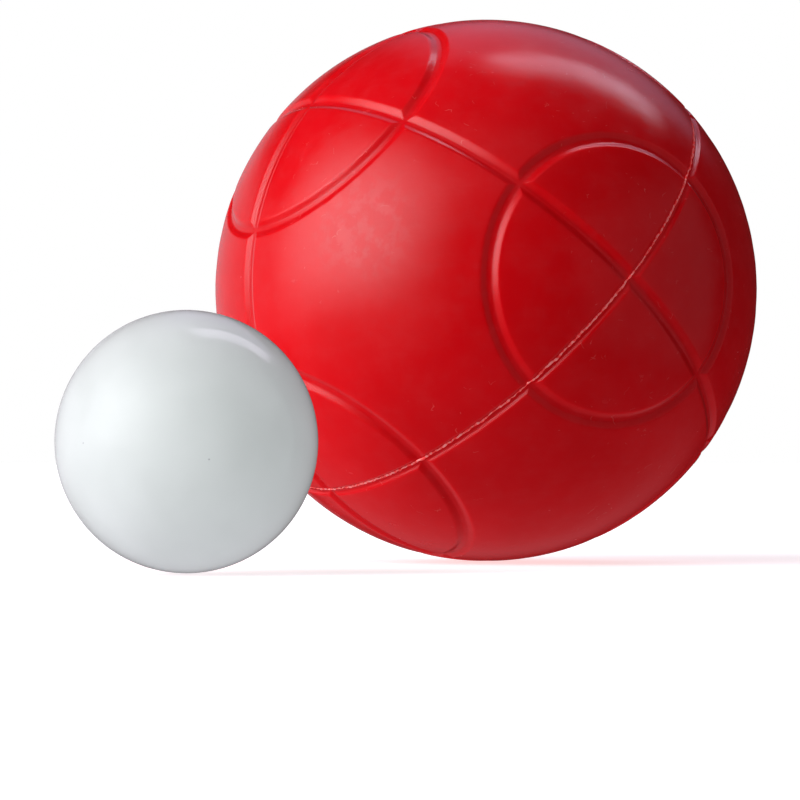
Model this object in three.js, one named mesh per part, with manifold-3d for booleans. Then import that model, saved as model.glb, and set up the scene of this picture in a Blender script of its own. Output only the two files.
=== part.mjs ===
// One bocce ball and its pallino, the small target ball, standing on level ground.
// Units are millimetres, +Z is up, and the origin is where the pallino touches the ground.
// The ball is two moulded half shells, welded together round a solid filling.
import * as THREE from 'three';
import { mergeVertices } from 'three/addons/utils/BufferGeometryUtils.js';
import Module from 'manifold-3d';

const wasm = await Module();
wasm.setup();

// Driving dimensions
const ballRadius = 45;
const pallinoRadius = 20;
const wallThickness = 4;
const fillingClearance = 0.5;

// Where the ball stands beside the pallino, and how it happens to be turned
const ballRight = 46.7;
const ballBehind = 79.1;
const ballTurnX = 28.1;
const ballTurnY = -40.4;
const ballTurnZ = -48.9;

// Decorative grooves: great circles across the ball, and a ring round each of its six poles
const ringAngle = 30.3;
const grooveWidth = 3;
const grooveFloorWidth = 0.9;
const grooveDepth = 0.55;

// The seam between the halves: a narrow groove, a weld bead in it, and a tongue in a rebate behind it
const seamWidth = 2;
const seamDepth = 0.5;
const fitGap = 0.3;
const weldThickness = 0.4;
const weldOuterRadius = ballRadius - 0.25;
const weldInnerRadius = 43;
const tongueThickness = 1.45;
const tongueLength = 2.3;

// Fineness of the facets
const turnSegments = 44;
const poleToSeamSteps = 11;
const cavitySteps = 8;
const ringSegments = 36;
const greatCircleSegments = 48;
const fillingSegments = 28;
const pallinoSegments = 36;

const cavityRadius = ballRadius - wallThickness;
const rimHeight = weldThickness / 2 + fitGap;
const { degToRad, radToDeg, lerp } = THREE.MathUtils;

// three.js geometry to a manifold-3d solid, with shared corners and no slivers at the poles
function toSolid(geometry) {
  const bare = geometry.clone();
  bare.deleteAttribute('normal');
  bare.deleteAttribute('uv');
  const welded = mergeVertices(bare);
  const corners = welded.index.array;
  const triangles = [];
  for (let i = 0; i < corners.length; i += 3) {
    const [a, b, c] = corners.slice(i, i + 3);
    if (a !== b && b !== c && c !== a) triangles.push(a, b, c);
  }
  const mesh = new wasm.Mesh({
    numProp: 3,
    vertProperties: new Float32Array(welded.attributes.position.array),
    triVerts: new Uint32Array(triangles),
  });
  return new wasm.Manifold(mesh);
}

// A manifold-3d solid back to three.js geometry
function toGeometry(solid) {
  const { vertProperties, triVerts } = solid.getMesh();
  const geometry = new THREE.BufferGeometry();
  geometry.setAttribute('position', new THREE.BufferAttribute(vertProperties, 3));
  geometry.setIndex(new THREE.BufferAttribute(triVerts, 1));
  geometry.computeVertexNormals();
  return geometry;
}

// A profile of [distance from the Z axis, height] turned round the Z axis. Profiles run
// anticlockwise, with the axis on their left, so that the faces point out.
function turned(profile, segments) {
  const points = profile.map(([r, z]) => new THREE.Vector2(r, z));
  return new THREE.LatheGeometry(points, segments).rotateX(Math.PI / 2);
}

// Points of a circle's arc in a turning profile, by angle from the pole, in degrees
function arc(radius, fromAngle, toAngle, steps) {
  return Array.from({ length: steps + 1 }, (_, i) => {
    const angle = degToRad(lerp(fromAngle, toAngle, i / steps));
    return [radius * Math.sin(angle), radius * Math.cos(angle)];
  });
}

// The solid ring that cuts a groove at the given angle from its pole, with its axis along Z
function grooveCutter(angleFromPole, segments) {
  const angle = degToRad(angleFromPole);
  const at = (along, radius) => [
    radius * Math.sin(angle) + along * Math.cos(angle),
    radius * Math.cos(angle) - along * Math.sin(angle),
  ];
  const flare = (grooveWidth - grooveFloorWidth) / 2 / grooveDepth;
  const proud = 1;
  const halfMouth = grooveWidth / 2 + flare * proud;
  const section = [
    at(-grooveFloorWidth / 2, ballRadius - grooveDepth),
    at(grooveFloorWidth / 2, ballRadius - grooveDepth),
    at(halfMouth, ballRadius + proud),
    at(-halfMouth, ballRadius + proud),
  ];
  return turned([...section, section[0]], segments);
}

// Every groove but the seam: two great circles through the poles, and the six pole rings
function allGrooves() {
  const quarter = Math.PI / 2;
  const cutters = [
    grooveCutter(90, greatCircleSegments).rotateX(quarter),
    grooveCutter(90, greatCircleSegments).rotateY(quarter),
  ];
  for (const turn of [0, 1, 2, 3]) {
    cutters.push(grooveCutter(ringAngle, ringSegments).rotateX(quarter).rotateZ(turn * quarter));
  }
  for (const flip of [0, 2]) {
    cutters.push(grooveCutter(ringAngle, ringSegments).rotateX(flip * quarter));
  }
  return cutters.map(toSolid).reduce((sum, cutter) => sum.add(cutter));
}

// The outside of a half shell, from the bottom of the seam groove to its pole
function shellOutside() {
  const lip = 90 - radToDeg(Math.asin(seamWidth / 2 / ballRadius));
  return [[ballRadius - seamDepth, rimHeight], ...arc(ballRadius, lip, 0, poleToSeamSteps)];
}

// Upper half: its tongue reaches down past the seam, inside the lower half
function upperShellProfile() {
  const tongueRadius = cavityRadius + tongueThickness;
  return [
    ...arc(cavityRadius, 0, 90, cavitySteps),
    [cavityRadius, -tongueLength],
    [tongueRadius, -tongueLength],
    [tongueRadius, rimHeight],
    ...shellOutside(),
  ];
}

// Lower half, drawn the same way up as the upper one: a rebate takes the tongue
function lowerShellProfile() {
  const rebateRadius = cavityRadius + tongueThickness + fitGap;
  const rebateDepth = tongueLength + fitGap;
  const cavityEdge = radToDeg(Math.acos(rebateDepth / cavityRadius));
  return [
    ...arc(cavityRadius, 0, cavityEdge, cavitySteps),
    [rebateRadius, rebateDepth],
    [rebateRadius, rimHeight],
    ...shellOutside(),
  ];
}

function weldProfile() {
  const half = weldThickness / 2;
  const section = [
    [weldInnerRadius, -half],
    [weldOuterRadius - half, -half],
    [weldOuterRadius, 0],
    [weldOuterRadius - half, half],
    [weldInnerRadius, half],
  ];
  return [...section, section[0]];
}

function named(name, geometry, material) {
  const mesh = new THREE.Mesh(geometry, material);
  mesh.name = name;
  return mesh;
}

function bocceBall() {
  const red = new THREE.MeshStandardMaterial({ color: 0xc40a12, roughness: 0.33, metalness: 0 });
  const bead = new THREE.MeshStandardMaterial({ color: 0xe0868a, roughness: 0.5, metalness: 0 });
  const grey = new THREE.MeshStandardMaterial({ color: 0x77736c, roughness: 0.9, metalness: 0 });
  const grooves = allGrooves();
  const upper = toSolid(turned(upperShellProfile(), turnSegments));
  const lower = toSolid(turned(lowerShellProfile(), turnSegments).rotateX(Math.PI));
  const fillingRadius = cavityRadius - fillingClearance;
  const filling = new THREE.SphereGeometry(fillingRadius, fillingSegments, fillingSegments / 2);

  const ball = new THREE.Group();
  ball.add(
    named('ball_upper_shell', toGeometry(upper.subtract(grooves)), red),
    named('ball_lower_shell', toGeometry(lower.subtract(grooves)), red),
    named('seam_weld', turned(weldProfile(), turnSegments), bead),
    named('ballast_core', filling, grey),
  );
  ball.rotation.set(degToRad(ballTurnX), degToRad(ballTurnY), degToRad(ballTurnZ));
  ball.position.set(ballRight, ballBehind, ballRadius);
  return ball;
}

function pallino() {
  const white = new THREE.MeshStandardMaterial({ color: 0xe6e9ea, roughness: 0.3, metalness: 0 });
  const sphere = new THREE.SphereGeometry(pallinoRadius, pallinoSegments, pallinoSegments / 2);
  const ball = named('pallino', sphere.rotateX(Math.PI / 2), white);
  ball.position.set(0, 0, pallinoRadius);
  return ball;
}

const group = new THREE.Group();
group.add(bocceBall(), pallino());

export default group;
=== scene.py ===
"""A bocce ball and its pallino: the looks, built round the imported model.

The ball's two half shells are fine closed meshes with soft-lipped grooves, the weld bead is a
ragged line of flash, and the pallino is a smooth moulding with two pinprick gate marks.
"""

import math

import bpy
import numpy as np
from mathutils import Euler, Matrix, Vector


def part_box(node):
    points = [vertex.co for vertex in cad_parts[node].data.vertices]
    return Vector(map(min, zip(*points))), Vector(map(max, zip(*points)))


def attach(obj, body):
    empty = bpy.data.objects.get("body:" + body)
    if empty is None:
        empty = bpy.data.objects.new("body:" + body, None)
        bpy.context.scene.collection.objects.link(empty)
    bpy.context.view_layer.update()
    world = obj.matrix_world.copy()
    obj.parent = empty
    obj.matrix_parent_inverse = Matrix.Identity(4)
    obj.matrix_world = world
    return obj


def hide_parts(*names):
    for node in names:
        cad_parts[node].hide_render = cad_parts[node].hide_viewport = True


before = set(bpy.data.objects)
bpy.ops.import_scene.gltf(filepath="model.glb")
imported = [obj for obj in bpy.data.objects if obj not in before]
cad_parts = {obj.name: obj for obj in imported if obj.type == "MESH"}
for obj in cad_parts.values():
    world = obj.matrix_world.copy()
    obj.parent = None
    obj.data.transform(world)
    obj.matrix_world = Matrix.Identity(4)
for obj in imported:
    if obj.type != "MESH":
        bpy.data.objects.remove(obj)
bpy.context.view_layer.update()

MM = 0.001

# The ball's own axes, as it is turned in the model. Its local +Z is the seam's axis.
BALL_TURN = Euler([math.radians(angle) for angle in (28.1, -40.4, -48.9)], "ZYX")
BALL_RADIUS = 45 * MM
CAVITY_RADIUS = 41 * MM
PALLINO_RADIUS = 20 * MM

# The plain inside of a half shell: its rings of points, and the last ring's angle above the seam
CAVITY_RINGS = 12
CAVITY_LAST_RING = 86

# Grooves: how far each pole's ring lies from its pole, then the section of a groove
RING_ANGLE = 30.3
GROOVE = dict(half_width=1.65 * MM, floor=0.2 * MM, depth=0.55 * MM)

# The seam is narrower and sharper, and the halves part a little above its middle
SEAM = dict(half_width=1.0 * MM, floor=0.3 * MM, depth=0.45 * MM)
PARTING_HEIGHT = 0.18 * MM
PARTING_HALF_GAP = 0.03 * MM
PARTING_BLEND = 1.6 * MM

# The flash squeezed out along the seam. Its lips and neck lie just under the seam's floor, and its
# shoulders stand partway up to the crest.
FLASH_ROOT_RADIUS = 43 * MM
FLASH_ROOT_HALF_WIDTH = 0.02 * MM
FLASH_NECK_SINK = 0.12 * MM
FLASH_LIP_SINK = 0.02 * MM
FLASH_HALF_WIDTH = 0.16 * MM
FLASH_HEIGHT = 0.11 * MM
FLASH_LEAN = 0.05 * MM
SHOULDER_HEIGHT = 0.75
SHOULDER_WIDTH = 0.6
FLASH_STEPS = 2400

# Where each gate was cut off the pallino, seen from its centre
GATE_MARKS = ((-0.745, -0.667, -0.01), (0.205, -0.965, -0.13))
GATE_RADIUS = 0.19 * MM

# Painted highlight: pale mottling where the key light is mirrored on the ball, seen from the ball's
# centre, and how far it reaches
HOTSPOT_SHEEN_WAY = (-0.45, -0.87, 0.21)
HOTSPOT_SHEEN_REACH = 12 * MM

# How uneven the mouldings are
BALL_SINK = 0.02 * MM
PALLINO_SINK = 0.02 * MM

# A long lens, just above the ground, tilted up a little
CAMERA_PLACE = (32.4 * MM, -820.4 * MM, 21.2 * MM)
CAMERA_TILT = 90.357
CAMERA_LENS = 243.3

rng = np.random.default_rng(18)


def middle(node):
    low, high = (np.array(corner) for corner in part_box(node))
    return Vector((low + high) / 2)


BALL_CENTRE = middle("ballast_core")
PALLINO_CENTRE = middle("pallino")
BALL_PLACE = Matrix.Translation(BALL_CENTRE) @ BALL_TURN.to_matrix().to_4x4()


# ---------------------------------------------------------------- mesh helpers


def mesh_object(name, points, faces, material, place):
    """A smooth-shaded object, from points that place turns and moves into the row frame."""
    mesh = bpy.data.meshes.new(name)
    mesh.from_pydata(points.tolist(), [], [list(map(int, face)) for face in faces])
    mesh.transform(place)
    mesh.polygons.foreach_set("use_smooth", [True] * len(mesh.polygons))
    mesh.materials.append(material)
    mesh.update()
    obj = bpy.data.objects.new(name, mesh)
    bpy.context.scene.collection.objects.link(obj)
    return obj


def ripple(points, wavelength, waves=14):
    """Soft random unevenness, about -1 to 1: a sum of plane waves in random directions."""
    ways = rng.normal(size=(waves, 3))
    ways *= 2 * math.pi / wavelength / np.linalg.norm(ways, axis=1, keepdims=True)
    ways *= rng.uniform(0.6, 1.5, size=(waves, 1))
    shifts = rng.uniform(0, 2 * math.pi, size=waves)
    return np.sin(points @ ways.T + shifts).sum(axis=1) / math.sqrt(waves)


def graded(start, end, finest, growth, even):
    """Values from start to end. The steps are finest near start, and grow beyond the even part."""
    span = abs(end - start)
    values = [0.0]
    while values[-1] < span:
        values.append(values[-1] + finest + growth * max(0, values[-1] - even))
    return start + (end - start) * np.array(values) / values[-1]


def grid_faces(rows, columns, start=0):
    """Quads between rows of points that close on themselves."""
    first = np.arange(rows - 1)[:, None] * columns + start
    here, after = np.arange(columns), np.roll(np.arange(columns), -1)
    quads = [first + here, first + columns + here, first + columns + after, first + after]
    return np.stack([np.broadcast_to(q, (rows - 1, columns)) for q in quads], axis=-1).reshape(-1, 4)


# ---------------------------------------------------------------- sphere of six patches


def patch(finest, growth, even):
    """Unit directions on the square patch round the +Z pole, as rows by columns.

    Columns crowd towards the two great circles through the pole, and rows towards the pole and
    its ring. The last row lies on the patch's edge, where the next patch's last row lies too.
    """
    eighth = graded(0, 45, finest, growth, even)
    sector = np.concatenate([-eighth[:0:-1], eighth[:-1]])
    turn = np.radians(np.concatenate([sector + quarter for quarter in (0, 90, 180, 270)]))
    near_pole = graded(0, RING_ANGLE / 2, 2 * finest, growth, even)[1:]
    inside_ring = graded(RING_ANGLE, RING_ANGLE / 2, finest, growth, even)[:0:-1][1:]
    outside_ring = graded(RING_ANGLE, 45, finest, growth, even)
    edge = np.degrees(np.arctan(1 / np.maximum(abs(np.cos(turn)), abs(np.sin(turn)))))
    stretch = (edge - RING_ANGLE) / (45 - RING_ANGLE)
    rows = [np.full_like(turn, angle) for angle in (*near_pole, *inside_ring)]
    rows += [RING_ANGLE + (angle - RING_ANGLE) * stretch for angle in outside_ring]
    tilt = np.radians(np.array(rows))
    return np.stack(
        [np.sin(tilt) * np.cos(turn), np.sin(tilt) * np.sin(turn), np.cos(tilt)], axis=-1
    )


def six_patches(finest, growth, even=0):
    """A whole sphere as (unit directions, quads and pole triangles), with shared corners."""
    directions = patch(finest, growth, even)
    rows, columns, _ = directions.shape
    directions = np.concatenate([[(0, 0, 1)], directions.reshape(-1, 3)])
    after = np.roll(np.arange(columns), -1)
    fan = [(0, 1 + here, 1 + after[here], 1 + after[here]) for here in range(columns)]
    faces = np.concatenate([fan, grid_faces(rows, columns, start=1)])
    turns = [Matrix.Rotation(math.radians(a), 3, "X") for a in (0, 90, 180, 270)]
    turns += [Matrix.Rotation(math.radians(a), 3, "Y") for a in (90, 270)]
    points = np.concatenate([directions @ np.round(turn).T for turn in turns])
    corners = np.concatenate([faces + i * len(directions) for i in range(len(turns))])
    _, first, shared = np.unique(
        np.round(points, 6) + 0.0, axis=0, return_index=True, return_inverse=True
    )
    return points[first], shared.reshape(-1)[corners]


def tidy(faces):
    """Faces as lists, where a pole's quads with a repeated corner become triangles."""
    return [list(dict.fromkeys(face)) for face in faces.tolist()]


# ---------------------------------------------------------------- ball


def groove_depth(distance, half_width, floor, depth):
    """Depth at a distance from a groove's middle: a flat floor between two S-shaped flanks."""
    rise = ((half_width - distance) / (half_width - floor)).clip(0, 1)
    return depth * rise**2 * (3 - 2 * rise)


def ball_depth(directions):
    """How deep the pattern is cut at each direction in the ball's frame."""
    across = BALL_RADIUS * np.arcsin(np.abs(directions).clip(0, 1))
    rings = np.abs(BALL_RADIUS * math.radians(90 - RING_ANGLE) - across)
    cuts = [groove_depth(across[:, axis], **GROOVE) for axis in (0, 1)]
    cuts += [groove_depth(rings[:, axis], **GROOVE) for axis in (0, 1, 2)]
    cuts.append(groove_depth(across[:, 2], **SEAM))
    return np.max(cuts, axis=0)


def half_shell(name, side, sphere, material):
    """The half of the ball above (side 1) or below (side -1) the seam, closed by its inside."""
    directions, faces = sphere
    faces = faces[np.sign(directions[faces][:, :, 2].sum(axis=1)) == side]
    used, faces = np.unique(faces, return_inverse=True)
    faces = faces.reshape(-1, 4)
    outside = directions[used]
    rim = np.flatnonzero(np.abs(outside[:, 2]) < 1e-9)
    rim = rim[np.argsort(np.arctan2(outside[rim, 1], outside[rim, 0]))]

    height = PARTING_HEIGHT + side * PARTING_HALF_GAP
    fade = (1 - BALL_RADIUS * np.abs(outside[:, 2]) / PARTING_BLEND).clip(0, 1)
    outside[:, 2] += fade * height / BALL_RADIUS
    outside /= np.linalg.norm(outside, axis=1, keepdims=True)
    sink = BALL_SINK * (1 + ripple(outside * BALL_RADIUS, 16 * MM)) / 2
    outer = outside * (BALL_RADIUS - ball_depth(outside) - sink)[:, None]

    turn = np.arctan2(outer[rim, 1], outer[rim, 0])
    first, last = math.asin(side * height / CAVITY_RADIUS), math.radians(CAVITY_LAST_RING)
    lift = np.linspace(first, last, CAVITY_RINGS)[:, None]
    level = [np.cos(lift) * np.cos(turn), np.cos(lift) * np.sin(turn), side * np.sin(lift + 0 * turn)]
    inner = CAVITY_RADIUS * np.stack(level, axis=-1).reshape(-1, 3)
    pole = [(0, 0, side * CAVITY_RADIUS)]
    points = np.concatenate([outer, inner, pole])

    start, count = len(outer), len(rim)
    inside = grid_faces(len(lift), count, start)
    after = np.roll(np.arange(count), -1)
    bridge = np.stack([rim, start + np.arange(count), start + after, rim[after]], axis=1)
    top = start + (len(lift) - 1) * count
    cap = [(top + i, len(points) - 1, len(points) - 1, top + after[i]) for i in range(count)]
    inside = np.concatenate([bridge, inside, cap])
    if side < 0:
        inside = inside[:, ::-1]
    return mesh_object(name, points, tidy(np.concatenate([faces, inside])), material, BALL_PLACE)


def seam_flash(name, material):
    """The weld bead: a thin root between the halves, and a ragged crest standing in the seam."""
    turn = np.linspace(0, 2 * math.pi, FLASH_STEPS, endpoint=False)
    circle = np.stack([np.cos(turn), np.sin(turn), 0 * turn], axis=1)
    along = circle * BALL_RADIUS
    slow, fast = ripple(along, 9 * MM), ripple(along, 0.9 * MM)
    floor = BALL_RADIUS - SEAM["depth"]
    width = FLASH_HALF_WIDTH * (1 + 0.25 * slow + 0.35 * fast).clip(0.5, 2.0)
    crest = floor + FLASH_HEIGHT * (0.85 + 0.2 * slow + 0.3 * fast).clip(0.3, 1.4)
    lean = FLASH_LEAN * (ripple(along, 4 * MM) + 1.2 * ripple(along, 1.3 * MM))
    shoulder = floor + SHOULDER_HEIGHT * (crest - floor)
    section = [
        (FLASH_ROOT_RADIUS, -FLASH_ROOT_HALF_WIDTH),
        (floor - FLASH_NECK_SINK, -FLASH_ROOT_HALF_WIDTH),
        (floor - FLASH_LIP_SINK, lean - width),
        (shoulder, lean - SHOULDER_WIDTH * width),
        (crest, lean),
        (shoulder, lean + SHOULDER_WIDTH * width),
        (floor - FLASH_LIP_SINK, lean + width),
        (floor - FLASH_NECK_SINK, FLASH_ROOT_HALF_WIDTH),
        (FLASH_ROOT_RADIUS, FLASH_ROOT_HALF_WIDTH),
    ]
    rows = []
    for radius, rise in section:
        reach = np.broadcast_to(radius, turn.shape)[:, None]
        height = np.broadcast_to(PARTING_HEIGHT + rise, turn.shape)[:, None]
        rows.append(circle * reach + [0, 0, 1] * height)
    faces = grid_faces(len(rows) + 1, FLASH_STEPS) % (len(rows) * FLASH_STEPS)
    return mesh_object(name, np.concatenate(rows), faces[:, ::-1], material, BALL_PLACE)


# ---------------------------------------------------------------- pallino


def pallino_ball(name, material):
    directions, faces = six_patches(finest=1.0, growth=0.02)
    sink = PALLINO_SINK * (1 + ripple(directions * PALLINO_RADIUS, 18 * MM)) / 2
    points = directions * (PALLINO_RADIUS - sink)[:, None]
    return mesh_object(name, points, tidy(faces), material, Matrix.Translation(PALLINO_CENTRE))


# ---------------------------------------------------------------- node helpers


def feed(tree, made, inputs):
    """Sets each named input of a node to a plain value, or links another node's output to it."""
    for key, value in dict(inputs).items():
        if isinstance(value, bpy.types.NodeSocket):
            tree.links.new(value, made.inputs[key])
        else:
            made.inputs[key].default_value = value


def node(tree, kind, settings=(), inputs=()):
    """A new node. Each input is a plain value, or another node's output to link."""
    made = tree.nodes.new("ShaderNode" + kind)
    for name, value in dict(settings).items():
        setattr(made, name, value)
    feed(tree, made, inputs)
    return made


def maths(tree, operation, *values):
    return node(tree, "Math", {"operation": operation}, enumerate(values)).outputs[0]


def dot(tree, a, b):
    return node(tree, "VectorMath", {"operation": "DOT_PRODUCT"}, {0: a, 1: b}).outputs["Value"]


def distance_from(tree, at, centre):
    return node(tree, "VectorMath", {"operation": "DISTANCE"}, {0: at, 1: centre}).outputs["Value"]


def ramp(tree, value, low, high, to_low=0.0):
    """A smooth step, from to_low where value is low to 1 where it is high."""
    inputs = {"Value": value, 1: low, 2: high, 3: to_low, 4: 1.0}
    return node(tree, "MapRange", {"interpolation_type": "SMOOTHSTEP"}, inputs).outputs["Result"]


def noise(tree, at, size, detail, roughness=0.5, stretch=(1, 1, 1)):
    """Noise with features of a size in metres, longer along an axis by its stretch."""
    scale = [1 / size / s for s in stretch]
    at = node(tree, "Mapping", inputs={"Vector": at, "Scale": scale}).outputs[0]
    inputs = {"Vector": at, "Scale": 1.0, "Detail": detail, "Roughness": roughness}
    return node(tree, "TexNoise", inputs=inputs).outputs["Fac"]


def blend(tree, amount, a, b):
    """Colour a, or b where amount is 1."""
    inputs = {"Factor": amount, 6: a, 7: b}
    return node(tree, "Mix", {"data_type": "RGBA"}, inputs).outputs[2]


def new_material(name):
    material = bpy.data.materials.new(name)
    material.use_nodes = True
    tree = material.node_tree
    shader = tree.nodes["Principled BSDF"]
    at = node(tree, "TexCoord").outputs["Object"]
    return material, tree, shader, at


def finish_material(tree, shader, inputs, height, strength, distance):
    """Feeds the shader its inputs, and a bump from height in units of distance."""
    bump = {"Height": height, "Strength": strength, "Distance": distance}
    feed(tree, shader, {**inputs, "Normal": node(tree, "Bump", inputs=bump).outputs["Normal"]})


# ---------------------------------------------------------------- materials

# Linear colours. The pairs are the two ends of a material's own variation.
RED_PAIR = ((0.71, 0.0026, 0.0064, 1), (0.765, 0.0036, 0.0085, 1))
SCUFF_TINT = (0.85, 0.40, 0.42, 1)
# The pale tint of the painted highlight where the key light is mirrored
HOTSPOT_SHEEN_TINT = (0.95, 0.50, 0.50, 1)
SCRATCH_TINT = (0.95, 0.38, 0.34, 1)
FLASH_PAIR = ((1.0, 0.08, 0.08, 1), (1.0, 0.42, 0.40, 1))
FLASH_GLOW = (1.0, 0.05, 0.05, 1)
FILLING_PAIR = ((0.13, 0.12, 0.11, 1), (0.30, 0.28, 0.26, 1))
WHITE_PAIR = ((0.595, 0.626, 0.604, 1), (0.625, 0.656, 0.634, 1))
GATE_TINT = (0.40, 0.42, 0.42, 1)
FLOOR_PAIR = ((0.88, 0.88, 0.88, 1), (0.90, 0.90, 0.90, 1))


def specks(tree, at, size, share, radius):
    """Small round marks: 1 on a mark, one in each of the given share of cells of that size."""
    inputs = {"Vector": at, "Scale": 1 / size}
    cells = node(tree, "TexVoronoi", inputs=inputs)
    marked = maths(tree, "LESS_THAN", cells.outputs["Color"], share)
    near = ramp(tree, cells.outputs["Distance"], radius / size, 0.5 * radius / size)
    return maths(tree, "MULTIPLY", marked, near)


def pinprick(tree, at, centre, radius):
    """One round mark about a point."""
    return ramp(tree, distance_from(tree, at, centre), radius, 0.4 * radius)


def hairlines(tree, at, size, half_width, share):
    """Short curved scratches, every which way: pieces of the edges between uneven cells."""
    bend = node(tree, "TexNoise", inputs={"Vector": at, "Scale": 2 / size, "Detail": 1.0}).outputs["Color"]
    bend = node(tree, "VectorMath", {"operation": "SCALE"}, {0: bend, "Scale": 0.5 * size}).outputs[0]
    bent = node(tree, "VectorMath", inputs={0: at, 1: bend}).outputs[0]
    inputs = {"Vector": bent, "Scale": 1 / size}
    cells = node(tree, "TexVoronoi", {"feature": "DISTANCE_TO_EDGE"}, inputs)
    line = ramp(tree, cells.outputs["Distance"], half_width / size, 0.3 * half_width / size)
    kept = ramp(tree, noise(tree, at, 0.5 * size, 1), 0.72 - share, 0.76 - share)
    region = ramp(tree, noise(tree, at, 6 * size, 1), 0.45, 0.6)
    return maths(tree, "MULTIPLY", maths(tree, "MULTIPLY", line, kept), region)


def scuffs(tree, at):
    """Cloudy patches rubbed dull, with faint long streaks in them: about 0 to 1."""
    patches = ramp(tree, noise(tree, at, 4 * MM, 5, 0.65), 0.35, 0.75)
    streaks = noise(tree, at, 0.7 * MM, 1, stretch=(14, 3, 1))
    streaks = ramp(tree, streaks, 0.25, 0.75, to_low=0.6)
    return maths(tree, "MULTIPLY", patches, streaks)


def painted_hotspot_sheen(tree, at):
    """Painted highlight: pale mottling round the spot where the key light is mirrored, fading out: 0 to 1.
    """
    centre = BALL_CENTRE + BALL_RADIUS * Vector(HOTSPOT_SHEEN_WAY).normalized()
    distance = distance_from(tree, at, centre)
    mottle = ramp(tree, noise(tree, at, 2.5 * MM, 4, 0.6), 0.42, 0.62)
    return maths(tree, "MULTIPLY", mottle, ramp(tree, distance, HOTSPOT_SHEEN_REACH, 0.3 * HOTSPOT_SHEEN_REACH))


def red_plastic():
    """Glossy moulded polyethylene, with dull scuffed patches, hairline scratches and pale specks, and pale
    mottling painted on as a highlight where the key light is mirrored.
    """
    material, tree, shader, at = new_material("red_polyethylene")
    cloud = noise(tree, at, 22 * MM, 2)
    grain = noise(tree, at, 1.2 * MM, 3, 0.6)
    scuff = scuffs(tree, at)
    dots = specks(tree, at, size=13 * MM, share=0.28, radius=0.16 * MM)
    dust = specks(tree, at, size=2.3 * MM, share=0.06, radius=0.09 * MM)
    lines = hairlines(tree, at, size=3.2 * MM, half_width=0.06 * MM, share=0.07)
    colour = blend(tree, ramp(tree, cloud, 0.3, 0.7), *RED_PAIR)
    colour = blend(tree, maths(tree, "MULTIPLY", scuff, 0.02), colour, SCUFF_TINT)
    # Painted highlight: pale mottling where the key light is mirrored
    hotspot_sheen = maths(tree, "MULTIPLY", painted_hotspot_sheen(tree, at), 0.06)
    colour = blend(tree, hotspot_sheen, colour, HOTSPOT_SHEEN_TINT)
    marks = maths(tree, "MULTIPLY", maths(tree, "MAXIMUM", dust, lines), 0.18)
    colour = blend(tree, maths(tree, "MAXIMUM", dots, marks), colour, SCRATCH_TINT)
    rough = maths(tree, "MULTIPLY_ADD", cloud, 0.06, 0.12)
    rough = maths(tree, "MULTIPLY_ADD", grain, 0.04, rough)
    rough = maths(tree, "MULTIPLY_ADD", scuff, 0.12, rough)
    height = maths(tree, "MULTIPLY_ADD", grain, 0.25, cloud)
    height = maths(tree, "MULTIPLY_ADD", scuff, 2.0, height)
    height = maths(tree, "MULTIPLY_ADD", lines, -0.5, height)
    inputs = {
        "Base Color": colour,
        "Roughness": rough,
        "Specular IOR Level": 0.28,
        "Subsurface Weight": 1.0,
        "Subsurface Radius": (1.0, 0.3, 0.3),
        "Subsurface Scale": 1.6 * MM,
    }
    finish_material(tree, shader, inputs, height, strength=0.35, distance=0.02 * MM)
    return material


def flash_plastic():
    """Torn, stress-whitened flash: pinkish, and paler where it is torn most.

    Its faint red glow stands for the light that seeps into it through the shells.
    """
    material, tree, shader, at = new_material("stress_whitened_polyethylene")
    tear = noise(tree, at, 0.6 * MM, 3, 0.6)
    colour = blend(tree, ramp(tree, tear, 0.42, 0.58), *FLASH_PAIR)
    rough = maths(tree, "MULTIPLY_ADD", tear, 0.3, 0.35)
    inputs = {
        "Base Color": colour,
        "Roughness": rough,
        "Specular IOR Level": 0.0,
        "Emission Color": FLASH_GLOW,
        "Emission Strength": 0.17,
    }
    finish_material(tree, shader, inputs, tear, strength=0.4, distance=0.03 * MM)
    return material


def filling_mortar():
    """The core: a dull grey cast filling, with coarse grains."""
    material, tree, shader, at = new_material("cast_filling")
    grains = noise(tree, at, 1.5 * MM, 4, 0.65)
    colour = blend(tree, ramp(tree, grains, 0.3, 0.7), *FILLING_PAIR)
    rough = maths(tree, "MULTIPLY_ADD", grains, 0.15, 0.8)
    inputs = {"Base Color": colour, "Roughness": rough}
    finish_material(tree, shader, inputs, grains, strength=0.6, distance=0.3 * MM)
    return material


def white_plastic():
    """The pallino's cool white, glossy and unmarked but for the pinprick of each gate."""
    material, tree, shader, at = new_material("white_polyethylene")
    cloud = noise(tree, at, 12 * MM, 2)
    grain = noise(tree, at, 0.9 * MM, 3, 0.6)
    colour = blend(tree, ramp(tree, cloud, 0.3, 0.7), *WHITE_PAIR)
    for way in GATE_MARKS:
        centre = PALLINO_CENTRE + PALLINO_RADIUS * Vector(way).normalized()
        gate = pinprick(tree, at, centre, GATE_RADIUS)
        colour = blend(tree, gate, colour, GATE_TINT)
    rough = maths(tree, "MULTIPLY_ADD", cloud, 0.04, 0.08)
    height = maths(tree, "MULTIPLY_ADD", grain, 0.2, cloud)
    inputs = {
        "Base Color": colour,
        "Roughness": rough,
        "Specular IOR Level": 0.22,
        "Subsurface Weight": 1.0,
        "Subsurface Radius": (1.0, 1.0, 1.0),
        "Subsurface Scale": 20 * MM,
    }
    finish_material(tree, shader, inputs, height, strength=0.25, distance=0.02 * MM)
    return material


# ---------------------------------------------------------------- studio

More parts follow.
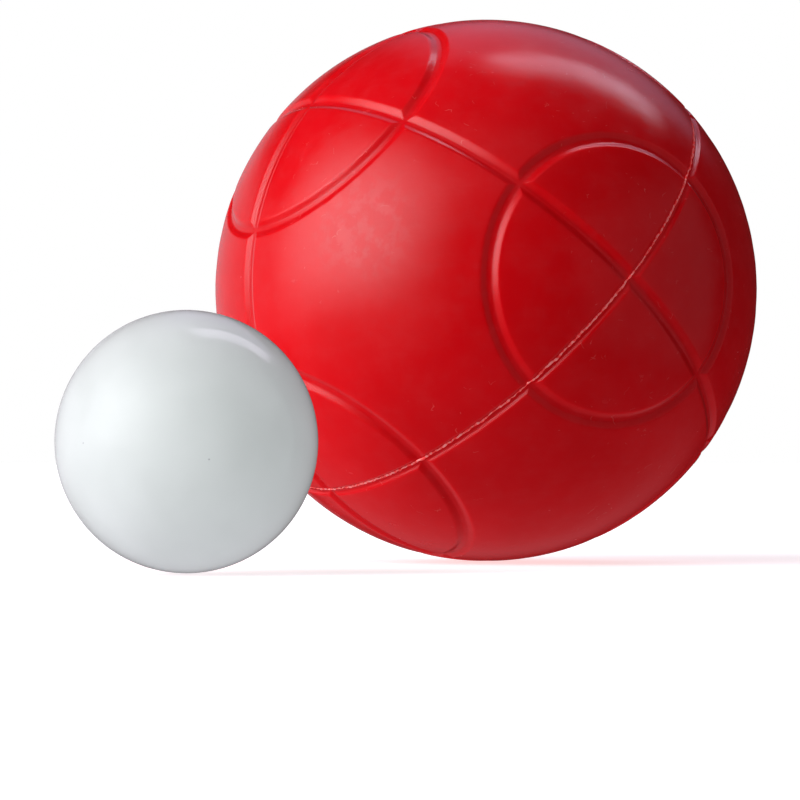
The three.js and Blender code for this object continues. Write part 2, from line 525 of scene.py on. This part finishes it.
# Soft boxes far away. Headings are in degrees: azimuth 0 is straight behind the set, 90 is to its
# right and 180 is the camera. Sizes are half width and half height, as tangents.
SOFT_BOXES = {
    "key": dict(heading=(-120, 15), size=(0.90, 0.84), edge=0.35, tint=(1, 1, 1.05), power=0.45),
    "key_core": dict(heading=(-117, 23), size=(0.48, 0.42), edge=0.90, tint=(1, 1, 1.05), power=4.8),
    "overhead": dict(
        heading=(34.9, 54.7), size=(0.11, 0.35), edge=0.15, spin=-28, tint=(1.1, 1, 1.2), power=2.45),
    "back_panel": dict(heading=(15, 46), size=(0.36, 0.42), edge=0.40, tint=(1.05, 1, 1.45), power=0.39),
    "front_top": dict(heading=(-165, 55), size=(0.50, 0.35), edge=0.50, tint=(1, 1, 1.1), power=0.25),
    "left_wall": dict(heading=(-50, 3), size=(1.20, 0.28), edge=0.35, tint=(1, 1, 1.1), power=0.38),
    "right_card": dict(heading=(105, 5), size=(0.70, 0.50), edge=0.20, tint=(1, 1, 1.1), power=0.18),
}

# The reddish glow of the dim room, and a weak diffuse light from the right
ROOM_GLOW = 0.04
ROOM_TINT = (1, 0.3, 0.3, 1)
SIDE_LIGHT = 0.08

# The lit table under everything: how bright it is in reflections, and as diffuse light. It is
# brighter to the left and towards the back.
TABLE_SHINE = 0.12
TABLE_LIGHT = 0.78
TABLE_FADE_RIGHT = -0.5
TABLE_RISE_BACK = 0.55
TABLE_TINT = (1, 1, 1.1, 1)

FLOOR_RADIUS = 3
FLOOR_DROP = 0.2 * MM
FLOOR_GLOW = 0.66

FILL_HEADING = (145, 0)
FILL_SPREAD = 150
FILL_POWER = 1.45
FILL_TINT = (0.93, 1, 1.02)


def heading_vector(azimuth, elevation):
    turn, lift = math.radians(azimuth), math.radians(elevation)
    return Vector((math.sin(turn) * math.cos(lift), math.cos(turn) * math.cos(lift), math.sin(lift)))


def soft_box(tree, way, heading, size, edge, tint, power, spin=0):
    """Light from a rectangle with soft edges, as a Background shader."""
    toward = heading_vector(*heading)
    across = toward.cross((0, 0, 1)).normalized()
    turn = Matrix.Rotation(math.radians(spin), 3, toward)
    ahead = dot(tree, way, toward)
    strength = maths(tree, "MULTIPLY", maths(tree, "GREATER_THAN", ahead, 0.01), power)
    for axis, half in zip((turn @ across, turn @ across.cross(toward)), size):
        aside = maths(tree, "ABSOLUTE", maths(tree, "DIVIDE", dot(tree, way, axis), ahead))
        within = ramp(tree, aside, half * (1 + edge), half * (1 - edge))
        strength = maths(tree, "MULTIPLY", strength, within)
    return node(tree, "Background", inputs={"Color": (*tint, 1), "Strength": strength}).outputs[0]


def studio():
    """The world: soft boxes in a dim room over a lit table, and plain white behind it all."""
    world = bpy.data.worlds.new("studio")
    world.use_nodes = True
    tree = world.node_tree
    tree.nodes.clear()
    way = node(tree, "TexCoord").outputs["Generated"]
    rays = node(tree, "LightPath").outputs
    along = node(tree, "SeparateXYZ", inputs={0: way}).outputs
    below = ramp(tree, along["Z"], -0.25, -0.55)
    below = maths(tree, "MULTIPLY", below, maths(tree, "MULTIPLY_ADD", along["X"], TABLE_FADE_RIGHT, 1.0))
    below = maths(tree, "MULTIPLY", below, maths(tree, "MULTIPLY_ADD", along["Y"], TABLE_RISE_BACK, 1.0))
    table = maths(tree, "MULTIPLY_ADD", rays["Is Diffuse Ray"], TABLE_LIGHT - TABLE_SHINE, TABLE_SHINE)
    side = maths(tree, "MULTIPLY", ramp(tree, along["X"], 0.1, 0.9), rays["Is Diffuse Ray"])
    level = maths(tree, "MULTIPLY", below, table)
    level = maths(tree, "MULTIPLY_ADD", side, SIDE_LIGHT, level)
    total = node(tree, "Background", inputs={"Color": TABLE_TINT, "Strength": level}).outputs[0]
    room = node(tree, "Background", inputs={"Color": ROOM_TINT, "Strength": ROOM_GLOW}).outputs[0]
    total = node(tree, "AddShader", inputs={0: total, 1: room}).outputs[0]
    for box in SOFT_BOXES.values():
        total = node(tree, "AddShader", inputs={0: total, 1: soft_box(tree, way, **box)}).outputs[0]
    plain = node(tree, "Background", inputs={"Color": (1, 1, 1, 1), "Strength": 1.0}).outputs[0]
    total = node(tree, "MixShader", inputs={0: rays["Is Camera Ray"], 1: total, 2: plain}).outputs[0]
    node(tree, "OutputWorld", inputs={"Surface": total})
    bpy.context.scene.world = world
    bpy.context.scene.view_settings.view_transform = "Standard"


def floor_disc():
    """A wide round pale floor. The balls are lit and mirrored by the lit table instead of by it."""
    turn = np.linspace(0, 2 * math.pi, 96, endpoint=False)
    level = 0 * turn - FLOOR_DROP
    points = np.stack([FLOOR_RADIUS * np.cos(turn), FLOOR_RADIUS * np.sin(turn), level], axis=1)
    material, tree, shader, at = new_material("pale_floor")
    paper = noise(tree, at, 3 * MM, 2)
    colour = blend(tree, paper, *FLOOR_PAIR)
    inputs = {
        "Base Color": colour,
        "Roughness": 0.9,
        "Specular IOR Level": 0.0,
        "Emission Color": (1, 1, 1, 1),
        "Emission Strength": FLOOR_GLOW,
    }
    finish_material(tree, shader, inputs, paper, strength=0.1, distance=0.05 * MM)
    floor = mesh_object("floor", points, [range(len(points))], material, Matrix.Identity(4))
    floor.visible_diffuse = False
    floor.visible_glossy = False
    return floor


def fill_light(ball):
    """A broad, weak light on the pallino alone, which is seen in flatter light than the big ball."""
    data = bpy.data.lights.new("pallino_fill", "SUN")
    data.energy = FILL_POWER
    data.angle = math.radians(FILL_SPREAD)
    data.color = FILL_TINT
    obj = bpy.data.objects.new("pallino_fill", data)
    obj.rotation_euler = (-heading_vector(*FILL_HEADING)).to_track_quat("-Z", "Y").to_euler()
    bpy.context.scene.collection.objects.link(obj)
    receivers = bpy.data.collections.new("pallino_only")
    receivers.objects.link(ball)
    obj.light_linking.receiver_collection = receivers


def camera():
    """Looks along +Y at the set, with the pallino on the left."""
    data = bpy.data.cameras.new("camera")
    data.lens = CAMERA_LENS
    data.sensor_width = 36
    obj = bpy.data.objects.new("camera", data)
    obj.location = CAMERA_PLACE
    obj.rotation_euler = (math.radians(CAMERA_TILT), 0, 0)
    bpy.context.scene.collection.objects.link(obj)
    bpy.context.scene.camera = obj


# ---------------------------------------------------------------- the set


def keep_out_of_mirrors(piece):
    """Stops the gloss of the other ball from mirroring this piece."""
    piece.visible_glossy = False


def bocce_ball():
    groove_reach = math.degrees(GROOVE["half_width"] / BALL_RADIUS)
    sphere = six_patches(finest=0.16, growth=0.14, even=groove_reach)
    red = red_plastic()
    for side, name in ((1, "upper"), (-1, "lower")):
        shell = half_shell(f"moulded_{name}_shell", side, sphere, red)
        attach(shell, "bocce_ball")
        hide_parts(f"ball_{name}_shell")
        keep_out_of_mirrors(shell)
    flash = seam_flash("seam_flash", flash_plastic())
    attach(flash, "bocce_ball")
    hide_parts("seam_weld")
    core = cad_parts["ballast_core"]
    core.material_slots[0].material = filling_mortar()


def target_ball():
    ball = pallino_ball("moulded_pallino", white_plastic())
    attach(ball, "pallino")
    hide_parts("pallino")
    keep_out_of_mirrors(ball)
    ball.visible_diffuse = False
    return ball


bocce_ball()
fill_light(target_ball())
floor_disc()
studio()
camera()
